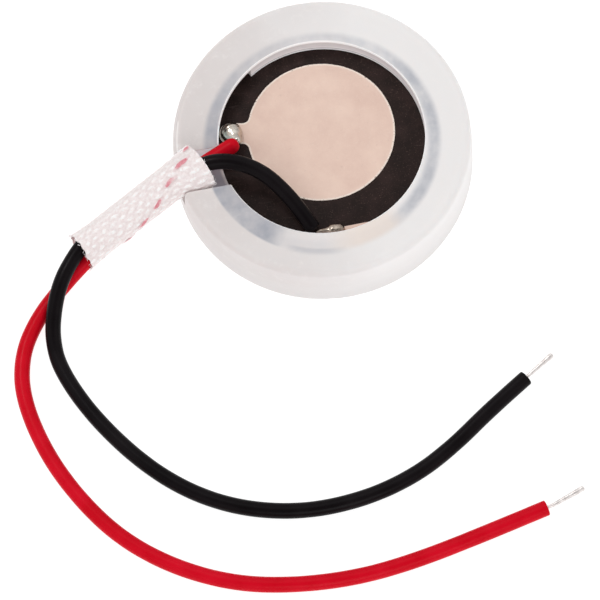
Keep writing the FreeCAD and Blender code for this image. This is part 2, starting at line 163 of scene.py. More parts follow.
class Graph:
    """A Principled material whose sockets are fed by constants or by other nodes."""

    def __init__(self, name):
        self.material = bpy.data.materials.new(name)
        self.material.use_nodes = True
        self.tree = self.material.node_tree
        self.shader = self.tree.nodes["Principled BSDF"]

    def feed(self, socket, value):
        if isinstance(value, bpy.types.NodeSocket):
            self.tree.links.new(value, socket)
        else:
            socket.default_value = value

    def set(self, **values):
        for name, value in values.items():
            self.feed(self.shader.inputs[name.replace("_", " ")], value)

    def node(self, kind, inputs=(), **settings):
        made = self.tree.nodes.new(kind)
        for name, value in settings.items():
            setattr(made, name, value)
        for key, value in dict(inputs).items():
            self.feed(made.inputs[key], value)
        return made

    def place(self):
        return self.node("ShaderNodeTexCoord").outputs["Object"]

    def attribute(self, name):
        return self.node("ShaderNodeAttribute", attribute_name=name).outputs["Fac"]

    def math(self, operation, first, second=0.0, third=0.0):
        inputs = {0: first, 1: second, 2: third}
        return self.node("ShaderNodeMath", inputs, operation=operation).outputs[0]

    def times(self, first, *others):
        for other in others:
            first = self.math("MULTIPLY", first, other)
        return first

    def length(self, vector):
        made = self.node("ShaderNodeVectorMath", {0: vector}, operation="LENGTH")
        return made.outputs["Value"]

    def noise(self, scale, detail=3, roughness=0.5, at=None):
        inputs = {"Vector": at or self.place(), "Scale": scale, "Detail": detail}
        made = self.node("ShaderNodeTexNoise", inputs)
        made.inputs["Roughness"].default_value = roughness
        return made.outputs["Fac"]

    def steps(self, factor, *stops):
        """Colour ramp through (position, (r, g, b)) stops."""
        ramp = self.node("ShaderNodeValToRGB", {0: factor})
        elements = ramp.color_ramp.elements
        while len(elements) < len(stops):
            elements.new(0.5)
        for element, (position, colour) in zip(elements, stops):
            element.position = position
            element.color = (*colour, 1)
        return ramp.outputs[0]

    def level(self, factor, *stops):
        """Value along (degrees, value) stops, for a factor that is a share of a full turn."""
        return self.steps(factor, *((turn / 360, (value,) * 3) for turn, value in stops))

    def between(self, value, low, high):
        """0 below low, 1 above high, smooth between them."""
        inputs = {0: value, 1: low, 2: high}
        made = self.node("ShaderNodeMapRange", inputs, interpolation_type="SMOOTHSTEP")
        return made.outputs[0]

    def below(self, value, low, high):
        """1 below low, 0 above high, smooth between them."""
        return self.math("SUBTRACT", 1, self.between(value, low, high))

    def mix(self, factor, first, second):
        """Colour between two others. Each is a socket or an (r, g, b) colour."""
        made = self.node("ShaderNodeMix", {0: factor}, data_type="RGBA")
        for socket, colour in ((made.inputs[6], first), (made.inputs[7], second)):
            self.feed(socket, (*colour, 1) if isinstance(colour, tuple) else colour)
        return made.outputs[2]

    def bump(self, height, strength, distance):
        inputs = {"Height": height, "Strength": strength, "Distance": distance}
        self.feed(self.shader.inputs["Normal"], self.node("ShaderNodeBump", inputs).outputs[0])


def srgb(red, green, blue):
    """Linear colour of an 8-bit display colour."""
    def linear(value):
        value /= 255
        return value / 12.92 if value <= 0.04045 else ((value + 0.055) / 1.055) ** 2.4
    return (linear(red), linear(green), linear(blue))


class RingGraph(Graph):
    """Nodes over the seal ring: its height, its radius and the heading round its axis."""

    def __init__(self, name):
        super().__init__(name)
        split = self.node("ShaderNodeSeparateXYZ", {0: self.place()})
        self.x, y, self.z = split.outputs[0], split.outputs[1], split.outputs[2]
        flat = self.node("ShaderNodeCombineXYZ", {0: self.x, 1: y}).outputs[0]
        self.radius = self.length(flat)
        # Radius of the disc below, as the slanting view through the silicone shifts it.
        shift = {0: flat, 1: (0, 0.5 * MM, 0)}
        moved = self.node("ShaderNodeVectorMath", shift, operation="ADD").outputs["Vector"]
        self.seen_radius = self.length(moved)
        turn = self.times(self.math("ARCTAN2", y, self.x), 180 / math.pi)
        self.turn = self.math("FLOORED_MODULO", turn, 360)
        self.share = self.math("DIVIDE", self.turn, 360)
        self.over_groove = self.between(self.z, 3.9 * MM, 4 * MM)

    def sector(self, start, full, fade, end):
        """1 between the headings full and fade, 0 outside start and end."""
        return self.times(self.between(self.turn, start, full), self.below(self.turn, fade, end))

    def annulus(self, radius, start, full, fade, end):
        """1 between the radii full and fade, 0 outside start and end, in millimetres."""
        return self.times(
            self.between(radius, start * MM, full * MM), self.below(radius, fade * MM, end * MM),
        )


def cloudy_silicone(graph):
    """Milky body: cloudy, a little clearer towards +X, with painted shade that darkens it towards
    the bottom.
    """
    across = graph.between(graph.x, -14 * MM, 14 * MM)
    cloudy = graph.math("MULTIPLY_ADD", graph.noise(160, 4), 0.5, across)
    colour = graph.steps(
        cloudy, (0.3, srgb(226, 219, 217)), (0.7, srgb(235, 231, 230)), (1.2, srgb(244, 241, 240)),
    )
    haze = graph.times(graph.between(graph.noise(1300, 5, 0.7), 0.5, 0.75), 0.3)
    colour = graph.mix(haze, colour, srgb(250, 246, 244))
    # Painted shade: the colour darkens towards the bottom of the ring.
    painted_low_shade = graph.below(graph.z, -1 * MM, 5.7 * MM)
    return graph.mix(graph.times(painted_low_shade, 0.8), colour, srgb(222, 217, 216))


def disc_seen_through(graph, colour):
    """The dark disc under the lip, as a soft blue-grey band, and the pad of silver paste."""
    # How strongly the disc shows through, round the ring. It is clearest under the pocket,
    # and it is pale where the wrapped electrode lies.
    depth = graph.level(
        graph.share, (0, 0.46), (45, 0.38), (90, 0.2), (130, 0.3), (150, 0.4), (175, 0.44),
        (197, 0.58), (238, 0.5), (246, 0.1), (265, 0.1), (272, 0.04), (300, 0.1), (312, 0.42),
    )
    softness = graph.level(
        graph.share, (0, 0.6), (190, 0.5), (203, 0.2), (243, 0.2), (252, 0.6),
    )
    inner = graph.math("MULTIPLY_ADD", softness, -1 * MM, 10.25 * MM)
    over_disc = graph.below(graph.seen_radius, inner, 10.3 * MM)
    high = graph.between(graph.z, 4.6 * MM, 5.3 * MM)
    in_pocket = graph.level(graph.share, (0, 0), (120, 0), (134, 1), (243, 1), (250, 0))
    off_lip = graph.between(graph.seen_radius, 8.6 * MM, 9.35 * MM)
    patchy = graph.math("MULTIPLY_ADD", graph.noise(420, 4, 0.6), 2.4, -0.2)
    shade = graph.times(
        over_disc, high, depth, graph.math("MAXIMUM", in_pocket, off_lip), patchy,
    )
    smear = graph.level(graph.share, (0, 0), (247, 0), (253, 1), (268, 1), (277, 0))
    smear = graph.times(
        smear, graph.annulus(graph.seen_radius, 9.6, 9.9, 10.0, 10.45), high,
    )
    shade = graph.math("MULTIPLY_ADD", smear, 0.26, shade)
    colour = graph.mix(shade, colour, srgb(140, 148, 164))
    pad = graph.times(graph.sector(262, 284, 298, 310), over_disc, graph.over_groove, 0.4)
    return graph.mix(pad, colour, srgb(238, 216, 198))


def lip_wall(graph, colour):
    """The lip's inner wall, painted with light and shade: a painted highlight on the rounded edge,
    a grey body, and painted bright lines and a painted shadow line at the foot.
    """
    wall = graph.times(graph.over_groove, graph.below(graph.radius, 8.79 * MM, 8.84 * MM))
    foot, lip_height = PASTE_TOP * MM, 1.72 * MM
    up_wall = graph.math("DIVIDE", graph.math("SUBTRACT", graph.z, foot), lip_height)
    # Painted light and shade up the wall: bright lines and a dark shadow line at the foot, grey
    # above, bright again under the edge.
    painted_wall_light_and_shade = graph.steps(
        up_wall,
        (0.0, srgb(246, 243, 243)), (0.1, srgb(246, 243, 243)), (0.17, srgb(176, 170, 173)),
        (0.24, srgb(236, 231, 231)), (0.4, srgb(222, 215, 216)), (0.75, srgb(206, 199, 200)),
        (0.9, srgb(246, 243, 243)),
    )
    colour = graph.mix(graph.times(wall, 0.9), colour, painted_wall_light_and_shade)
    # Painted highlight along the rounded top edge of the opening.
    edge = graph.times(
        graph.between(graph.z, 5.62 * MM, 5.7 * MM),
        graph.below(graph.radius, 8.83 * MM, 8.91 * MM),
    )
    return wall, graph.mix(graph.times(edge, 0.8), colour, srgb(252, 250, 250))


def slot_skin(graph, colour):
    """A thin skin covers the disc at the inner end of the slot."""
    skin = graph.times(
        graph.below(graph.z, 4.42 * MM, 4.5 * MM), graph.between(graph.z, 4.3 * MM, 4.36 * MM),
        graph.annulus(graph.radius, 8.8, 9.1, 9.9, 10.2), graph.between(graph.turn, 181, 184),
    )
    return skin, graph.mix(graph.times(skin, 0.9), colour, srgb(142, 138, 148))


def silicone():
    """Milky silicone. A painted glow (emission) on the lip's inner wall, the slot wall and the
    slot's skin stands in for light passing on through it.
    """
    graph = RingGraph("silicone")
    colour = disc_seen_through(graph, cloudy_silicone(graph))
    wall, colour = lip_wall(graph, colour)
    skin, colour = slot_skin(graph, colour)
    graph.set(Base_Color=colour)
    slot_wall = graph.times(
        graph.sector(166, 168, 190, 192), graph.below(graph.z, 5.74 * MM, 5.79 * MM),
        graph.between(graph.z, 4.42 * MM, 4.5 * MM),
        graph.below(graph.radius, 12.2 * MM, 12.4 * MM),
    )
    # Painted glow: emission brightens the lip's inner wall, the slot wall (tinted blue) and the
    # slot's skin, as light passing through the silicone would.
    painted_glow = graph.math("MAXIMUM", graph.times(wall, 0.24), graph.times(slot_wall, 0.5))
    graph.set(Emission_Color=graph.mix(slot_wall, colour, srgb(205, 228, 232)))
    graph.set(Emission_Strength=graph.math("MULTIPLY_ADD", skin, 0.22, painted_glow))
    graph.set(Roughness=0.42, IOR=1.41, Specular_IOR_Level=0.4)
    graph.set(Subsurface_Weight=0.5, Subsurface_Radius=(1.0, 0.92, 0.88), Subsurface_Scale=0.5 * MM)
    graph.bump(graph.noise(900, 4), 0.12, 0.03 * MM)
    return graph.material


def ceramic():
    """Dark ceramic: lapped, finely speckled and a little scratched."""
    graph = Graph("ceramic")
    grain = graph.noise(9000, 6, 0.7)
    patches = graph.noise(700, 3)
    colour = graph.steps(patches, (0.35, srgb(36, 26, 24)), (0.7, srgb(50, 37, 35)))
    specks = graph.times(graph.between(grain, 0.56, 0.74), 0.6)
    colour = graph.mix(specks, colour, srgb(116, 94, 86))
    stretched = graph.node("ShaderNodeMapping", {
        "Vector": graph.place(), "Rotation": (0, 0, 0.7), "Scale": (1, 14, 1),
    }).outputs[0]
    scratches = graph.between(graph.noise(420, 4, 0.6, stretched), 0.64, 0.74)
    graph.set(Base_Color=graph.mix(graph.times(scratches, 0.25), colour, srgb(120, 106, 100)))
    graph.set(Roughness=graph.math("MULTIPLY_ADD", patches, 0.2, 0.45), Specular_IOR_Level=0.1)
    graph.bump(grain, 0.25, 0.02 * MM)
    return graph.material


def silver_paste():
    """Fired paste, matte and grainy, with a pale painted highlight along its raised rim, which is
    slightly chipped.
    """
    graph = Graph("silver_paste")
    patches = graph.noise(420, 4, 0.6)
    grain = graph.noise(6500, 5, 0.7)
    colour = graph.steps(patches, (0.3, srgb(228, 197, 182)), (0.7, srgb(239, 211, 195)))
    pale = graph.times(graph.between(grain, 0.5, 0.7), 0.25)
    colour = graph.mix(pale, colour, srgb(244, 226, 214))
    worn = graph.times(graph.between(graph.noise(2400, 5, 0.7), 0.6, 0.72), 0.22)
    colour = graph.mix(worn, colour, srgb(196, 166, 150))
    edge = graph.attribute("edge")
    # Painted highlight: the pale rim stands in for light on the raised edge of the paste.
    rim = graph.times(graph.between(edge, 0.2, 0.9), 0.75)
    colour = graph.mix(rim, colour, srgb(252, 240, 228))
    chips = graph.between(graph.noise(5200, 2), 0.6, 0.66)
    chips = graph.times(chips, graph.between(edge, 0.5, 0.9), 0.6)
    graph.set(Base_Color=graph.mix(chips, colour, srgb(120, 92, 78)))
    graph.set(Roughness=graph.math("MULTIPLY_ADD", grain, 0.2, 0.48), Metallic=0.12)
    graph.bump(grain, 0.3, 0.015 * MM)
    return graph.material


def solder(name, dark, light):
    """Bright solder with duller patches."""
    graph = Graph(name)
    patches = graph.noise(1500, 4, 0.6)
    colour = graph.steps(patches, (0.35, dark), (0.65, light))
    graph.set(Base_Color=colour, Metallic=1.0)
    graph.set(Roughness=graph.math("MULTIPLY_ADD", patches, 0.3, 0.06))
    graph.bump(graph.noise(1500, 2), 0.35, 0.05 * MM)
    return graph.material


def insulation(name, dark, light):
    """Semi-gloss PVC with a faint orange peel."""
    graph = Graph(name)
    patches = graph.noise(350, 3)
    graph.set(Base_Color=graph.steps(patches, (0.3, dark), (0.7, light)))
    graph.set(Roughness=graph.math("MULTIPLY_ADD", graph.noise(2500, 4), 0.14, 0.22))
    graph.set(Specular_IOR_Level=0.06)
    graph.bump(graph.noise(1400, 4, 0.6), 0.12, 0.02 * MM)
    return graph.material


def tinned_copper():
    """Tin over copper strands, a little dull."""
    graph = Graph("tinned_copper")
    patches = graph.noise(2600, 3)
    colour = graph.steps(patches, (0.35, srgb(222, 214, 211)), (0.7, srgb(248, 244, 242)))
    graph.set(Base_Color=colour, Metallic=1.0)
    graph.set(Roughness=graph.math("MULTIPLY_ADD", patches, 0.1, 0.38))
    return graph.material


def glass_fibre():
    """Braided yarn: fine filaments run along each yarn. Painted shade darkens the hollows between
    the yarns and one side of the sleeve, and a faint painted glow brightens the whole braid.
    """
    graph = Graph("glass_fibre")
    height = graph.attribute("height")
    filament = graph.noise(7000, 4, 0.7)
    pale = graph.steps(filament, (0.3, srgb(249, 245, 244)), (0.7, srgb(255, 254, 253)))
    # Painted shade: low places of the braid get a darker colour.
    shaded = graph.mix(graph.between(height, 0.05, 0.75), srgb(238, 227, 226), pale)
    grain = graph.times(graph.between(graph.noise(4200, 3, 0.6), 0.42, 0.6), 0.55)
    shaded = graph.mix(grain, shaded, srgb(226, 212, 211))
    # Painted shade along one side of the sleeve.
    painted_side_shade = graph.times(graph.attribute("shade"), 0.55)
    shaded = graph.mix(painted_side_shade, shaded, srgb(222, 211, 209))
    graph.set(Base_Color=shaded, Roughness=0.7, Specular_IOR_Level=0.35)
    # Painted glow: a faint emission lightens the braid.
    graph.set(Emission_Color=shaded, Emission_Strength=0.1)
    graph.set(Subsurface_Weight=0.15, Subsurface_Radius=(1, 0.9, 0.85), Subsurface_Scale=0.15 * MM)
    graph.set(Sheen_Weight=0.15, Sheen_Roughness=0.4)
    graph.bump(filament, 0.3, 0.02 * MM)
    return graph.material


def tracer_yarn():
    """Pink-red yarn whose floats fade out unevenly towards their edges."""
    graph = Graph("tracer_yarn")
    filament = graph.noise(7000, 4, 0.7)
    core = graph.steps(filament, (0.3, srgb(216, 118, 130)), (0.7, srgb(238, 164, 173)))
    patches = graph.math("MULTIPLY_ADD", graph.noise(1900, 3), 2.4, -1.25)
    edge = graph.between(graph.math("ADD", graph.attribute("height"), patches), 0.1, 0.95)
    graph.set(Base_Color=graph.mix(edge, srgb(247, 226, 227), core))
    graph.set(Roughness=0.7, Sheen_Weight=0.2)
    graph.bump(filament, 0.3, 0.02 * MM)
    return graph.material


def glaze():
    """Thin grey coat over the front electrode."""
    graph = Graph("glaze")
    patches = graph.noise(300, 4)
    colour = graph.steps(patches, (0.3, srgb(196, 192, 184)), (0.7, srgb(216, 213, 206)))
    graph.set(Base_Color=colour, Metallic=0.35, Roughness=0.32)
    graph.set(Coat_Weight=0.5, Coat_Roughness=0.15)
    graph.bump(graph.noise(5200, 5, 0.7), 0.2, 0.01 * MM)
    return graph.material


# ---------------------------------------------------------------- mesh tools, all in millimetres

def add_piece(name, points, faces, material, replaces=(), attributes=()):
    """Smooth mesh piece that rides on the part's body. Points are in millimetres."""
    mesh = bpy.data.meshes.new(name)
    mesh.from_pydata((np.asarray(points, float) * MM).tolist(), [], faces)
    mesh.validate()
    mesh.shade_smooth()
    mesh.materials.append(material)
    for key, values in dict(attributes).items():
        layer = mesh.attributes.new(key, "FLOAT", "POINT")
        layer.data.foreach_set("value", np.asarray(values, np.float32))
    piece = bpy.data.objects.new(name, mesh)
    bpy.context.collection.objects.link(piece)
    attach(piece, BODY)
    if replaces:
        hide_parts(*replaces)
    return piece


def grid_faces(rows, columns, start=0):
    """Quads of a sheet of rows by columns points whose columns close on themselves."""
    faces = []
    for row in range(rows - 1):
        for column in range(columns):
            following = (column + 1) % columns
            low = start + row * columns
            high = low + columns
            faces.append((low + column, low + following, high + following, high + column))
    return faces


def fan_faces(centre, first, columns, outward):
    """Triangles from one centre point to a ring of points."""
    faces = []
    for column in range(columns):
        a = first + column
        b = first + (column + 1) % columns
        faces.append((centre, a, b) if outward else (centre, b, a))
    return faces


def capped_faces(rows, columns):
    """Closed tube: a sheet, then one end point for its first row and one for its last."""
    faces = grid_faces(rows, columns)
    faces += fan_faces(rows * columns, 0, columns, False)
    faces += fan_faces(rows * columns + 1, (rows - 1) * columns, columns, True)
    return faces


def spline_line(route):
    """Points along a route's own NURBS spline, in millimetres."""
    curve = bpy.data.curves.new("line", "CURVE")
    curve.dimensions = "3D"
    curve.resolution_u = 24
    spline = curve.splines.new("NURBS")
    spline.points.add(len(route) - 1)
    for point, place in zip(spline.points, route):
        point.co = (*(Vector(place) * MM), 1)
    spline.order_u = 3
    spline.use_endpoint_u = True
    holder = bpy.data.objects.new("line", curve)
    mesh = bpy.data.meshes.new_from_object(holder)
    line = np.array([vertex.co for vertex in mesh.vertices]) / MM
    bpy.data.objects.remove(holder)
    bpy.data.meshes.remove(mesh)
    bpy.data.curves.remove(curve)
    return line


def cross_directions(line):
    """Two directions square to a line at each point, turned as little as possible."""
    tangents = np.gradient(line, axis=0)
    tangents /= np.linalg.norm(tangents, axis=1)[:, None]
    side = np.cross(tangents[0], (0, 0, 1.0))
    side /= np.linalg.norm(side)
    sides = []
    for tangent in tangents:
        side = side - tangent * side.dot(tangent)
        side /= np.linalg.norm(side)
        sides.append(side)
    sides = np.array(sides)
    return sides, np.cross(tangents, sides)


def tube_shell(line, radii, columns=40):
    """Points and faces of a closed tube. Its radii are by point, or by point and column."""
    sides, ups = cross_directions(line)
    radii = np.asarray(radii)
    if radii.ndim == 1:
        radii = radii[:, None]
    angles = np.linspace(0, 2 * math.pi, columns, endpoint=False)
    ring = np.cos(angles)[None, :, None] * sides[:, None, :]
    ring = ring + np.sin(angles)[None, :, None] * ups[:, None, :]
    points = (line[:, None, :] + ring * radii[..., None]).reshape(-1, 3)
    return np.vstack([points, line[0], line[-1]]), capped_faces(len(line), columns)


def join(shells):
    """One set of points and faces from several."""
    points = []
    faces = []
    for shell_points, shell_faces in shells:
        start = sum(len(group) for group in points)
        points.append(np.asarray(shell_points))
        faces += [tuple(index + start for index in face) for face in shell_faces]
    return np.vstack(points), faces


def lengths(line):
    """Distance of each point along a line."""
    steps = np.linalg.norm(np.diff(line, axis=0), axis=1)
    return np.concatenate([[0], np.cumsum(steps)])


def resample(line, wanted):
    """Points at the wanted distances along a line."""
    along = lengths(line)
    return np.stack([np.interp(wanted, along, line[:, axis]) for axis in range(3)], axis=1)


# ---------------------------------------------------------------- leads

# Centre lines from the solder to the insulation's cut end, and on to the end of the tip.
RED_ROUTE = [
    (-7.1, 0.45, 5.4), (-9.12, -0.5, 5.15), (-10.4, -1.25, 5.2), (-12.2, -1.95, 4.63),
    (-14.36, -2.95, 3.75), (-17.4, -4.9, 2.65), (-20.4, -6.74, 1.6), (-23.3, -9.1, 0.68),
    (-25.6, -11.7, 0.68), (-27.2, -14.8, 0.68), (-27.5, -18.6, 0.68), (-26.0, -23.7, 0.68),
    (-23.5, -28.2, 0.68), (-20.3, -32.1, 0.68), (-16.1, -35.1, 0.68), (-11.2, -37.1, 0.68),
    (-6.2, -37.8, 0.68), (-1.0, -37.7, 0.68), (3.9, -36.8, 0.68), (9.7, -35.15, 0.68),
    (15.3, -33.4, 0.68),
]
BLACK_ROUTE = [
    (-1.45, -8.1, 4.85), (-2.3, -6.6, 5.3), (-3.7, -4.56, 5.9), (-5.4, -2.8, 6.35),
    (-7.6, -1.75, 6.68), (-9.8, -1.58, 6.65), (-11.95, -2.22, 6.04), (-14.9, -3.37, 5.0),
    (-17.75, -4.5, 3.97), (-20.5, -5.66, 2.9), (-22.0, -7.2, 2.5), (-23.3, -9.22, 2.35),
    (-24.1, -11.46, 1.8), (-24.5, -13.8, 0.95), (-24.1, -16.5, 0.68), (-21.8, -20.9, 0.68),
    (-18.1, -25.5, 0.68), (-14.2, -28.7, 0.68), (-9.8, -30.7, 0.68), (-4.7, -31.5, 0.68),
    (0.4, -30.9, 0.68), (4.8, -29.3, 0.68), (8.3, -27.0, 0.68), (11.6, -24.2, 0.68),
    (14.9, -21.75, 0.68),
]
LEAD_RADIUS = 0.67
RED_TIP = [(15.87, -33.22, 0.68), (18.6, -31.99, 0.68)]
BLACK_TIP = [(17.37, -19.92, 0.68)]


def insulation_radii(along, melted):
    """Lead radius: drawn in at the soldered end, a crisp cut at the other."""
    total = along[-1]
    start = np.clip(along / melted, 0, 1)
    rounded = np.sqrt(np.clip(1 - (1 - start) ** 2, 0, 1))
    cut = np.clip((total - along) / 0.05, 0, 1)
    edge = 0.93 + 0.07 * np.sqrt(cut)
    swell = 1 + 0.006 * np.sin(along * 0.9) + 0.004 * np.sin(along * 2.3 + 1)
    return LEAD_RADIUS * (0.12 + 0.88 * rounded) * edge * np.minimum(swell, 1.0)


def bare_tip(colour, line, material):
    """Twisted strands, wetted into one wire with solder, that stick out of the insulation."""
    total = lengths(line)[-1]
    rounding = 0.22
    first_radius, full_radius, full_from = 0.15, 0.24, 0.8
    strands, pitch, relief = 6, 5.5, 0.015
    columns = 48
    cap = total - rounding + rounding * np.sin(np.linspace(0, math.pi / 2, 9)[1:])
    steps = np.concatenate([np.linspace(0, total - rounding, 90), cap])
    into_cap = np.clip((steps - total + rounding) / rounding, 0, 0.995)
    spread = np.clip(steps / total / full_from, 0, 1)
    radii = (first_radius + (full_radius - first_radius) * spread) * np.sqrt(1 - into_cap ** 2)
    angles = np.linspace(0, 2 * math.pi, columns, endpoint=False)
    twist = steps[:, None] * 2 * math.pi / pitch
    ridges = 1 - relief + relief * np.cos(strands * (angles[None, :] - twist))
    points, faces = tube_shell(resample(line, steps), radii[:, None] * ridges, columns)
    return add_piece(
        colour + "_strands", points, faces, material,
        [colour + "_tip_tinning", colour + "_conductor"],
    )


def make_lead(colour, route, tip, pvc, metal, melted):
    """Insulation and bare tip of one lead."""
    line = spline_line(route)
    along = lengths(line)
    fine = np.concatenate([
        np.linspace(0, melted, 14)[:-1], np.arange(melted, along[-1] - 0.06, 0.2),
        along[-1] - np.array([0.05, 0.03, 0.012, 0.0]),
    ])
    centre = resample(line, fine)
    points, faces = tube_shell(centre, insulation_radii(fine, melted))
    cover = add_piece(
        colour + "_lead", points, faces, pvc, [colour + "_insulation"],
    )
    tip_line = np.vstack([resample(line, along[-1] - np.array([0.3])), line[-1], tip])
    strands = bare_tip(colour, tip_line, metal)


# ---------------------------------------------------------------- braided sleeve

SLEEVE_TOP = np.array([-10.7, -1.14, 5.85])
SLEEVE_HEADING = math.radians(207.33)
SLEEVE_FALL = math.radians(18)
SLEEVE_AXIS = np.array([
    math.cos(SLEEVE_HEADING) * math.cos(SLEEVE_FALL),
    math.sin(SLEEVE_HEADING) * math.cos(SLEEVE_FALL),
    -math.sin(SLEEVE_FALL),
])
SLEEVE_SIDE = np.array([math.sin(-SLEEVE_HEADING), math.cos(SLEEVE_HEADING), 0])
SLEEVE_OVER = np.cross(SLEEVE_AXIS, SLEEVE_SIDE)
# Distance, half width, half height, shift towards -Y, tilt in degrees, lead of its top.
SLEEVE_LENGTH = 12.69
SLEEVE_RADIUS = 1.625
SLEEVE_SECTIONS = np.array([
    (0, 2.14, 1.46, 0.44, 12, 0.5), (1.2, 1.92, 1.67, 0.24, 10, 0.1),
    (2.4, 1.68, 1.63, 0.03, 3, 0), (3.4, SLEEVE_RADIUS, SLEEVE_RADIUS, 0, 0, 0),
    (10.78, SLEEVE_RADIUS, SLEEVE_RADIUS, 0, 0, 0), (SLEEVE_LENGTH, 1.76, 1.72, 0, 0, 0.35),
])
# Distance down the sleeve and angle round it of the coloured yarn's floats.
TRACER_FLOATS = np.array([
    (0.3, 147), (1.2, 111), (2.7, 76), (4.6, 41), (6.7, 15), (8.7, -22), (10.6, -57),
])
YARNS = 20
BRAID_TURN = -18  # degrees per millimetre down the sleeve
BRAID_RELIEF = 0.13


def sleeve_point(distance, angle, proud):
    """Places of points on the sleeve. Angle 0 is its -Y side, 90 its top."""
    turn = np.radians(angle)[..., None]
    width, height, shift, tilt, lead = (
        np.interp(distance, SLEEVE_SECTIONS[:, 0], column)[..., None]
        for column in SLEEVE_SECTIONS[:, 1:].T
    )
    tilt = np.radians(tilt)
    across = SLEEVE_SIDE * np.cos(tilt) - SLEEVE_OVER * np.sin(tilt)
    up = SLEEVE_OVER * np.cos(tilt) + SLEEVE_SIDE * np.sin(tilt) - lead * SLEEVE_AXIS
    centre = SLEEVE_TOP + np.asarray(distance)[..., None] * SLEEVE_AXIS + SLEEVE_SIDE * shift
    out = np.asarray(proud)[..., None]
    return (
        centre + across * (width + out) * np.cos(turn) + up * (height + out) * np.sin(turn)
    )


def scatter(first, second, seed):
    """Repeatable value from 0 to 1 for each pair of whole numbers."""
    mixed = np.sin(first * 12.9898 + second * 78.233 + seed * 37.719) * 43758.5453
    return mixed - np.floor(mixed)


def braid_height(distance, angle):
    """Surface height of a two-over, two-under braid, 0 to 1, at an angle in degrees."""
    turn = BRAID_TURN * distance
    first = YARNS * (angle - turn) / 360 + 0.5
    second = YARNS * (angle + turn) / 360 + 0.5
    heights = []
    for own, other, peak in ((first, second, 1.0), (second, first, 3.0)):
        across = 2 * (own - np.floor(own)) - 1
        section = np.clip(1 - 0.96 * across ** 2, 0, 1) ** 0.8
        phase = (np.floor(own) + other) % 4
        over = (0.5 + 0.5 * np.cos(math.pi * (phase - peak) / 2)) ** 8
        float_number = np.floor((np.floor(own) + other - peak + 2) / 4)
        size = 0.6 + 0.4 * scatter(np.floor(own) % YARNS, float_number % YARNS, peak)
        heights.append((0.2 + 0.8 * over * size) * section)
    return np.maximum(*heights)


def smoothed_shaded_side(angle):
    """1 along the side of the sleeve where the braid relief is made smoother and a painted shade
    darkens it.
    """
    return np.exp(-((angle - 137) / 17) ** 2)


def make_sleeve(material):
    """Braided tube with an inner wall. The cut lower end is a little ragged."""
    columns = 300
    rows = 330
    angle, distance = np.meshgrid(
        np.linspace(0, 360, columns, endpoint=False), np.linspace(0, SLEEVE_LENGTH, rows),
    )
    turn = np.radians(angle)
    ragged = 0.06 * (2 + np.sin(5 * turn + 0.6) + np.sin(11 * turn + 2))
    distance = distance - ragged * (distance / SLEEVE_LENGTH) ** 8
    flat = smoothed_shaded_side(angle)
    height = braid_height(distance, angle)
    shown = height * (1 - 0.55 * flat) + 0.35 * flat
    outer = sleeve_point(distance, angle, -BRAID_RELIEF * (1 - shown))
    inner = sleeve_point(distance, angle, np.where(distance < 1.2, -0.17, -0.21))
    points = np.vstack([outer.reshape(-1, 3), inner.reshape(-1, 3)])
    faces = grid_faces(rows, columns)
    faces += [face[::-1] for face in grid_faces(rows, columns, rows * columns)]
    for row, flip in ((0, False), (rows - 1, True)):
        for column in range(columns):
            a = row * columns + column
            b = row * columns + (column + 1) % columns
            c, d = b + rows * columns, a + rows * columns
            faces.append((a, b, c, d)[::-1] if flip else (a, b, c, d))
    # height feeds the painted shade of the braid's hollows; shade feeds the painted shade along one
    # side.
    braid = np.concatenate([shown.ravel(), np.full(shown.size, 0.3)])
    shade = np.concatenate([flat.ravel(), np.zeros(flat.size)])
    return add_piece(
        "sleeve_braid", points, faces, material, ["braided_sleeve"],
        {"height": braid, "shade": shade},
    )


def make_fray(material):
    """Loose filaments that stand out a little at both cut ends and along the braid."""
    rng = np.random.default_rng(5)
    shells = []
    for number in range(150):
        at_end = number % 3 == 0
        distance = SLEEVE_LENGTH - rng.uniform(0, 0.1) if at_end else rng.uniform(0, 0.2)
        if number % 3 == 2:
            distance = rng.uniform(0.2, SLEEVE_LENGTH - 0.2)
        angle = rng.uniform(0, 360)
        reach = rng.uniform(0.12, 0.4)
        run = reach * (1 if distance > SLEEVE_LENGTH / 2 else -1)
        steps = np.linspace(0, 1, 6)
        along = np.clip(distance + run * steps * 0.6, -0.1, SLEEVE_LENGTH + 0.12)
        proud = -0.06 + rng.uniform(0.04, 0.11) * np.sin(steps * math.pi * rng.uniform(0.5, 0.9))
        turn = angle + rng.uniform(-9, 9) * steps
        shells.append(tube_shell(sleeve_point(along, turn, proud), np.full(6, 0.012), 5))
    points, faces = join(shells)
    return add_piece(
        "sleeve_fray", points, faces, material, (),
        {"height": np.ones(len(points)), "shade": np.zeros(len(points))},
    )


